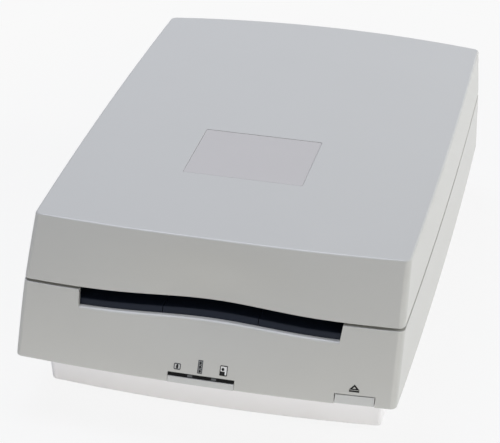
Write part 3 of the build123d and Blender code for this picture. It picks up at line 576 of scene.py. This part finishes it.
class ScannerSigns(PropertyGroup):
    """Places and sizes of the printed signs on the front."""

    line: length_property("Line", "Width of the thin lines", 0.4)
    ink_height: length_property("Ink height", "How far the ink stands off the case", 0.04)
    slide_x: length_property("Slide across", "Middle of the slide sign from the scanner's middle", -12.9)
    slide_z: length_property("Slide height", "Middle of the slide sign above the table", 37.8)
    slide_width: length_property("Slide width", "Width of the slide sign", 3.7)
    slide_height: length_property("Slide length", "Height of the slide sign", 2.9)
    film_x: length_property("Film across", "Middle of the film sign from the scanner's middle", -0.9)
    film_z: length_property("Film height", "Middle of the film sign above the table", 38.9)
    film_width: length_property("Film width", "Width of the film sign", 2.6)
    film_height: length_property("Film length", "Height of the film sign", 6.0)
    film_edge: length_property("Film edge", "Grey edge beside the film sign's windows", 0.55)
    print_x: length_property("Print across", "Middle of the print sign from the scanner's middle", 11.5)
    print_z: length_property("Print height", "Middle of the print sign above the table", 38.7)
    print_width: length_property("Print width", "Width of the print sign", 4.0)
    print_height: length_property("Print length", "Height of the print sign", 4.6)
    eject_x: length_property("Eject across", "Middle of the eject sign from the scanner's middle", 79.1)
    eject_z: length_property("Eject height", "Foot of the eject sign above the table", 36.65)
    eject_width: length_property("Eject width", "Width of the eject sign", 5.2)
    eject_height: length_property("Eject rise", "Height of the eject sign", 3.55)
    eject_line: length_property("Eject line", "Thickness of the eject sign's bar and triangle", 0.75)
    light_middle: length_property("Light middle", "Middle of the dim lights from the scanner's middle", 0.45)
    light_pitch: length_property("Light pitch", "Distance between the two dim lights", 12.6)
    light_width: length_property("Light width", "Width of a dim light", 2.6)
    light_margin: length_property("Light margin", "Dark edge above and below a dim light", 0.25)


class ScannerStage(PropertyGroup):
    """The studio: camera, lamps and floor."""

    azimuth: FloatProperty(name="Azimuth", description="Turn of the camera round the scanner",
                           default=math.radians(14.02), subtype="ANGLE")
    elevation: FloatProperty(name="Elevation", description="Rise of the camera above the table",
                             default=math.radians(30.61), subtype="ANGLE")
    distance: FloatProperty(name="Distance", description="From the camera to what it looks at",
                            default=1.12283, unit="LENGTH")
    target: FloatVectorProperty(name="Target", description="What the camera looks at",
                                default=(-0.0103, -0.00826, 0.042), subtype="TRANSLATION")
    lens: FloatProperty(name="Lens", description="Focal length on a 36 mm wide sensor",
                        default=141.44, unit="CAMERA")
    floor: colour_property("Floor", "Colour of the floor", "#e8e8e8")
    white: colour_property("White", "Plain white of the backdrop and the far floor", "#f9f9f9")
    floor_glow: FloatProperty(name="Floor glow",
                              description="Share of plain white in the floor by the scanner",
                              default=0.94, min=0, max=1, subtype="FACTOR")
    floor_near: FloatProperty(name="Floor near",
                              description="Where the floor starts to fade into the backdrop",
                              default=0.2, unit="LENGTH")
    floor_far: FloatProperty(name="Floor far", description="Where the floor is as white as the backdrop",
                             default=0.4, unit="LENGTH")
    key_power: FloatProperty(name="Key lamp", description="Power of the soft lamp at the right",
                             default=11.9, unit="POWER")
    top_power: FloatProperty(name="Top lamp", description="Power of the soft lamp above the rear",
                             default=18.4, unit="POWER")
    left_power: FloatProperty(name="Left lamp", description="Power of the soft lamp at the front left",
                              default=0.8, unit="POWER")
    right_power: FloatProperty(name="Right lamp", description="Power of the soft lamp at the front right",
                               default=3.3, unit="POWER")
    bounce_power: FloatProperty(name="Bounce lamp", description="Power of the low strip in front",
                                default=0.31, unit="POWER")
    ambient: FloatProperty(name="Ambient", description="Strength of the even light all round",
                           default=0.09, min=0)


class SCANNER_OT_case(Operator):
    """Finish the case, the cover and the bare plate on it"""
    bl_idname = "scanner.case"
    bl_label = "Case and cover"

    def execute(self, context):
        colours = context.scene.scanner_colours
        dress(moulded_case_abs(colours.case), "lower_case", "top_cover")
        dress(polyester_label_film(colours.label), "badge_plate")
        return {"FINISHED"}


class SCANNER_OT_base(Operator):
    """Finish the inset base and its feet"""
    bl_idname = "scanner.base"
    bl_label = "Base and feet"

    def execute(self, context):
        dress(moulded_base_abs(context.scene.scanner_colours.base), "base_tray")
        dress(moulded_foot_rubber(), "rubber_feet")
        return {"FINISHED"}


class SCANNER_OT_panel(Operator):
    """Finish the indicator, the eject button and what is behind them"""
    bl_idname = "scanner.panel"
    bl_label = "Front panel"

    def execute(self, context):
        signs = context.scene.scanner_signs
        dress(moulded_button_abs(context.scene.scanner_colours.button), "eject_button", "indicator_bezel")
        dress(smoked_polycarbonate(), "indicator_strip")
        frosted = frosted_polystyrene()
        dress(frosted, "indicator_lights")
        low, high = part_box("indicator_strip")
        z = (low.z + signs.light_margin, high.z - signs.light_margin)
        places = limits(signs.light_middle, signs.light_pitch)
        windows = [bar(limits(x, signs.light_width), z) for x in places]
        raised("indicator_windows", "indicator_strip", "chassis", windows, signs.ink_height, frosted)
        dress(moulded_socket_nylon(), "eject_switch", "switch_plunger")
        return {"FINISHED"}


class SCANNER_OT_signs(Operator):
    """Print the slide, film, print and eject signs on the front"""
    bl_idname = "scanner.signs"
    bl_label = "Printed signs"

    def execute(self, context):
        signs = context.scene.scanner_signs
        colours = context.scene.scanner_colours
        black = screen_printed_ink("black", colours.ink)
        grey = screen_printed_ink("grey", colours.grey_ink)
        self.print_slide(signs, black, grey, screen_printed_ink("mount", colours.mount_ink))
        self.print_film(signs, black, grey, screen_printed_ink("window", colours.window_ink))
        self.print_portrait(signs, black, screen_printed_ink("pale", colours.pale_ink))
        self.print_eject(signs, black)
        return {"FINISHED"}

    def lay(self, name, shapes, layer, height, ink):
        """One pass of the screen: a later layer stands higher, so that it covers the ones below."""
        raised(f"sign_{name}", "lower_case", "chassis", shapes, layer * height, ink)

    def print_slide(self, signs, black, grey, pale):
        place = (signs.slide_x, signs.slide_z)
        size = (signs.slide_width, signs.slide_height)
        corner = 1.6 * signs.line
        edge = 1.25 * signs.line
        outer = rounded(*place, *size, corner)
        inner = rounded(*place, *[side - 2 * edge for side in size], corner - edge)
        self.lay("slide_mount", [inner], 1, signs.ink_height, pale)
        self.lay("slide_edge", band(outer, inner), 2, signs.ink_height, grey)
        picture_size = (0.36 * signs.slide_width, 0.7 * signs.slide_height)
        picture = oval(*place, *picture_size, SMALL_OVAL_POINTS)
        self.lay("slide_picture", [picture], 2, signs.ink_height, black)

    def print_film(self, signs, black, grey, pale):
        strip = bar(limits(signs.film_x, signs.film_width), limits(signs.film_z, signs.film_height))
        steps = (-1, 0, 1)
        pitch = (signs.film_height - signs.film_edge) / len(steps)
        middles = [signs.film_z + step * pitch for step in steps]
        width = signs.film_width - 2 * signs.film_edge
        height = pitch - signs.film_edge
        windows = [bar(limits(signs.film_x, width), limits(z, height)) for z in middles]
        picture_size = (0.9 * width, 0.95 * height)
        pictures = [oval(signs.film_x, z, *picture_size, SMALL_OVAL_POINTS) for z in middles]
        self.lay("film_strip", [strip], 1, signs.ink_height, grey)
        self.lay("film_windows", windows, 2, signs.ink_height, pale)
        self.lay("film_pictures", pictures, 3, signs.ink_height, black)

    def print_portrait(self, signs, black, pale):
        place = (signs.print_x, signs.print_z)
        size = (signs.print_width, signs.print_height)
        outer = rounded(*place, *size, signs.line)
        inner = rounded(*place, *[side - 2 * signs.line for side in size], signs.line / 2)
        left = signs.print_x - signs.print_width / 2
        foot = signs.print_z - signs.print_height / 2
        head_place = (left + 0.4 * signs.print_width, foot + 0.63 * signs.print_height)
        head_size = (0.38 * signs.print_width, 0.32 * signs.print_height)
        head = oval(*head_place, *head_size)
        shoulder_end = left + 0.68 * signs.print_width
        shoulder_top = foot + 0.42 * signs.print_height
        shoulders = bar((left + signs.line, shoulder_end), (foot + signs.line, shoulder_top))
        self.lay("print_paper", [inner], 1, signs.ink_height, pale)
        self.lay("print_edge", band(outer, inner), 2, signs.ink_height, black)
        self.lay("print_figure", [head, shoulders], 2, signs.ink_height, black)

    def print_eject(self, signs, black):
        left, right = limits(signs.eject_x, signs.eject_width)
        foot = signs.eject_z + 1.35 * signs.eject_line
        apex = signs.eject_z + signs.eject_height
        corner = 0.15 * signs.eject_line
        outer = [(left - corner, foot), (right + corner, foot), (signs.eject_x, apex)]
        middle = (signs.eject_x, foot + (apex - foot) / 3)
        border = 2.2 * signs.eject_line
        shrink = 1 - border / (apex - foot)
        inner = [tuple(m + shrink * (p - m) for p, m in zip(point, middle)) for point in outer]
        shapes = band(outer, inner)
        shapes.append(bar((left, right), (signs.eject_z, signs.eject_z + signs.eject_line)))
        self.lay("eject", shapes, 2, signs.ink_height, black)


class SCANNER_OT_media_path(Operator):
    """Finish the guides, the deck, the scan glass and the diffuser"""
    bl_idname = "scanner.media_path"
    bl_label = "Media path"

    def execute(self, context):
        slate = slate_guide_abs(context.scene.scanner_colours.guide)
        dress(slate, "lower_guide_left", "lower_guide_center", "lower_guide_right")
        dress(black_chassis_abs(), "transport_deck", "upper_guide", "lamp_holder", "film_lamp_housing",
              "mirror_brackets")
        dress(float_glass(), "scan_glass")
        dress(opal_acrylic(), "film_diffuser")
        return {"FINISHED"}


class SCANNER_OT_drive(Operator):
    """Finish the rollers, the gears and the motor"""
    bl_idname = "scanner.drive"
    bl_label = "Rollers and drive"

    def execute(self, context):
        dress(ground_shaft_steel(), "front_feed_shaft", "rear_feed_shaft", "idler_studs")
        dress(ground_roller_rubber(), "front_feed_rollers", "rear_feed_rollers")
        dress(moulded_gear_acetal(), "front_feed_gear", "rear_feed_gear", "front_idler", "middle_idler",
              "rear_idler")
        dress(moulded_roller_acetal(), "front_pinch_roller", "rear_pinch_roller")
        dress(turned_brass(), "motor_pinion")
        dress(painted_motor_steel(), "stepper_motor")
        return {"FINISHED"}


class SCANNER_OT_chassis(Operator):
    """Finish the plates, the bars, the bearings and the hinge pins"""
    bl_idname = "scanner.chassis"
    bl_label = "Chassis"

    def execute(self, context):
        dress(zinc_plated_sheet(), "left_side_plate", "right_side_plate", "cross_bars")
        dress(sintered_bronze(), "feed_bushes")
        dress(moulded_bearing_nylon(), "pinch_bearings")
        dress(rolled_spring_steel(), "pinch_springs", "hinge_pins")
        return {"FINISHED"}


class SCANNER_OT_optics(Operator):
    """Finish the lamps, the mirror, the optics plate and the lens"""
    bl_idname = "scanner.optics"
    bl_label = "Lamps and optics"

    def execute(self, context):
        dress(phosphor_lamp_glass(), "scan_lamp", "film_lamp")
        dress(silvered_mirror(), "fold_mirror")
        dress(cast_aluminium(), "optics_plate", "lens_mount")
        dress(anodised_lens_barrel(), "lens_barrel")
        return {"FINISHED"}


class SCANNER_OT_boards(Operator):
    """Finish the circuit boards, their components and the sockets"""
    bl_idname = "scanner.boards"
    bl_label = "Boards and sockets"

    def execute(self, context):
        dress(green_solder_mask(), "main_board", "panel_board", "sensor_board")
        dress(moulded_epoxy(), "board_components", "sensor_chip", "power_jack")
        dress(nickel_plated_shell(), "data_port")
        return {"FINISHED"}


class SCANNER_OT_screws(Operator):
    """Put cross-recessed screws in place of the plain ones"""
    bl_idname = "scanner.screws"
    bl_label = "Screws"

    def execute(self, context):
        steel = blackened_screw_steel()
        screw_set("case_screw_set", "case_screws", "chassis", steel)
        screw_set("chassis_screw_set", "chassis_screws", "chassis", steel)
        return {"FINISHED"}


class SCANNER_OT_stage(Operator):
    """Set the camera, the soft lamps and the pale floor"""
    bl_idname = "scanner.stage"
    bl_label = "Studio"

    def execute(self, context):
        stage = context.scene.scanner_stage
        context.scene.view_settings.view_transform = "Standard"
        self.add_camera(context, stage)
        self.add_floor(context, stage)
        self.add_world(context, stage)
        middle = (CAD_BOX[0] + CAD_BOX[1]) / 2
        lamps = (
            ("key_lamp", (1.25, 0.2, 0.55), (0.4, 0.9), stage.key_power, "#ffffff"),
            ("top_lamp", (-0.35, 0.35, 1.45), (0.9, 0.9), stage.top_power, "#e7ecff"),
            ("left_lamp", (-0.9, -1.15, 0.25), (0.9, 0.6), stage.left_power, "#fffdf9"),
            ("right_lamp", (0.7, -1.2, 0.4), (0.9, 0.6), stage.right_power, "#fffdf9"),
            ("bounce_lamp", (0.0, -0.4, -0.028), (0.5, 0.04), stage.bounce_power, "#fffdfa"),
        )
        for name, offset, size, power, colour in lamps:
            self.add_lamp(context, name, middle, Vector(offset), size, power, colour)
        return {"FINISHED"}

    def add_camera(self, context, stage):
        camera = bpy.data.objects.new("camera", bpy.data.cameras.new("camera"))
        context.scene.collection.objects.link(camera)
        flat = math.cos(stage.elevation)
        sideways = math.sin(stage.azimuth) * flat
        back = Vector((sideways, -math.cos(stage.azimuth) * flat, math.sin(stage.elevation)))
        camera.location = Vector(stage.target) + back * stage.distance
        camera.rotation_mode = "QUATERNION"
        camera.rotation_quaternion = (-back).to_track_quat("-Z", "Y")
        camera.data.sensor_width = 36.0
        camera.data.lens = stage.lens
        context.scene.camera = camera

    def add_lamp(self, context, name, middle, offset, size, power, hex_colour):
        data = bpy.data.lights.new(name, "AREA")
        data.shape = "RECTANGLE"
        data.size, data.size_y = size
        data.energy = power
        data.color = linear(hex_colour)[:3]
        lamp = bpy.data.objects.new(name, data)
        context.scene.collection.objects.link(lamp)
        lamp.location = middle + offset
        lamp.rotation_mode = "QUATERNION"
        lamp.rotation_quaternion = (-offset).to_track_quat("-Z", "Y")
        lamp.visible_camera = False
        # The key lamp stands low, so its mirror image would burn out the top when seen from the left.
        lamp.visible_glossy = name != "key_lamp"

    def seen(self, tree):
        """Which rays see the background as plain white."""
        path = add(tree, "ShaderNodeLightPath").outputs
        first = add(tree, "ShaderNodeMath",
                    {0: path["Is Camera Ray"], 1: path["Is Glossy Ray"]}, operation="MAXIMUM")
        both = add(tree, "ShaderNodeMath",
                   {0: first.outputs["Value"], 1: path["Is Transmission Ray"]}, operation="MAXIMUM")
        return both.outputs["Value"]

    def add_floor(self, context, stage):
        # Painted studio floor: matt white that keeps the scanner's shadow.
        material = bpy.data.materials.new("painted_studio_floor")
        material.use_nodes = True
        tree = material.node_tree
        tree.nodes.clear()
        place = add(tree, "ShaderNodeTexCoord").outputs["Object"]
        grain_size = 3 * MM
        grain_height = 0.01 * MM
        grain = add(tree, "ShaderNodeTexNoise", {"Vector": place, "Scale": 1 / grain_size})
        relief = add(tree, "ShaderNodeBump", {"Height": grain.outputs["Fac"], "Distance": grain_height})
        paint = add(tree, "ShaderNodeBsdfDiffuse",
                    {"Color": stage.floor, "Normal": relief.outputs["Normal"]})
        white = add(tree, "ShaderNodeEmission", {"Color": stage.white, "Strength": 1.0})
        away = add(tree, "ShaderNodeVectorMath", {0: place}, operation="LENGTH")
        fade = add(tree, "ShaderNodeMapRange", {
            "Value": away.outputs["Value"], "From Min": stage.floor_near, "From Max": stage.floor_far,
            "To Min": stage.floor_glow, "To Max": 1.0,
        }, interpolation_type="SMOOTHSTEP")
        share = add(tree, "ShaderNodeMath",
                    {0: self.seen(tree), 1: fade.outputs["Result"]}, operation="MULTIPLY")
        mixed = add(tree, "ShaderNodeMixShader", {
            "Fac": share.outputs["Value"], 1: paint.outputs["BSDF"], 2: white.outputs["Emission"],
        })
        add(tree, "ShaderNodeOutputMaterial", {"Surface": mixed.outputs["Shader"]})
        reach = 6.0
        corners = [(-reach, -reach, 0), (reach, -reach, 0), (reach, reach, 0), (-reach, reach, 0)]
        data = bpy.data.meshes.new("studio_floor")
        data.from_pydata(corners, [], [(0, 1, 2, 3)])
        data.materials.append(material)
        floor = bpy.data.objects.new("studio_floor", data)
        floor.location.z = CAD_BOX[0].z
        context.scene.collection.objects.link(floor)

    def add_world(self, context, stage):
        world = bpy.data.worlds.new("studio")
        world.use_nodes = True
        tree = world.node_tree
        tree.nodes.clear()
        lit = add(tree, "ShaderNodeBackground", {"Color": linear("#ffffff"), "Strength": stage.ambient})
        white = add(tree, "ShaderNodeBackground", {"Color": stage.white, "Strength": 1.0})
        mixed = add(tree, "ShaderNodeMixShader", {
            "Fac": self.seen(tree), 1: lit.outputs["Background"], 2: white.outputs["Background"],
        })
        add(tree, "ShaderNodeOutputWorld", {"Surface": mixed.outputs["Shader"]})
        context.scene.world = world


OPERATORS = (
    SCANNER_OT_case,
    SCANNER_OT_base,
    SCANNER_OT_panel,
    SCANNER_OT_signs,
    SCANNER_OT_media_path,
    SCANNER_OT_drive,
    SCANNER_OT_chassis,
    SCANNER_OT_optics,
    SCANNER_OT_boards,
    SCANNER_OT_screws,
    SCANNER_OT_stage,
)


class SCANNER_PT_panel(Panel):
    """The scanner's operators and settings"""
    bl_idname = "SCANNER_PT_panel"
    bl_label = "Photo scanner"
    bl_space_type = "VIEW_3D"
    bl_region_type = "UI"
    bl_category = "Scanner"

    def draw(self, context):
        for operator in OPERATORS:
            self.layout.operator(operator.bl_idname)
        for owner, group in GROUPS.items():
            column = self.layout.column()
            for name in group.__annotations__:
                column.prop(getattr(context.scene, owner), name)


GROUPS = {
    "scanner_colours": ScannerColours,
    "scanner_signs": ScannerSigns,
    "scanner_stage": ScannerStage,
}
CLASSES = (*GROUPS.values(), *OPERATORS, SCANNER_PT_panel)


def register():
    for cls in CLASSES:
        bpy.utils.register_class(cls)
    for name, group in GROUPS.items():
        setattr(bpy.types.Scene, name, PointerProperty(type=group))


def unregister():
    for name in GROUPS:
        delattr(bpy.types.Scene, name)
    for cls in reversed(CLASSES):
        bpy.utils.unregister_class(cls)


def main():
    register()
    bpy.ops.scanner.case()
    bpy.ops.scanner.base()
    bpy.ops.scanner.panel()
    bpy.ops.scanner.signs()
    bpy.ops.scanner.media_path()
    bpy.ops.scanner.drive()
    bpy.ops.scanner.chassis()
    bpy.ops.scanner.optics()
    bpy.ops.scanner.boards()
    bpy.ops.scanner.screws()
    bpy.ops.scanner.stage()


if __name__ == "__main__":
    main()
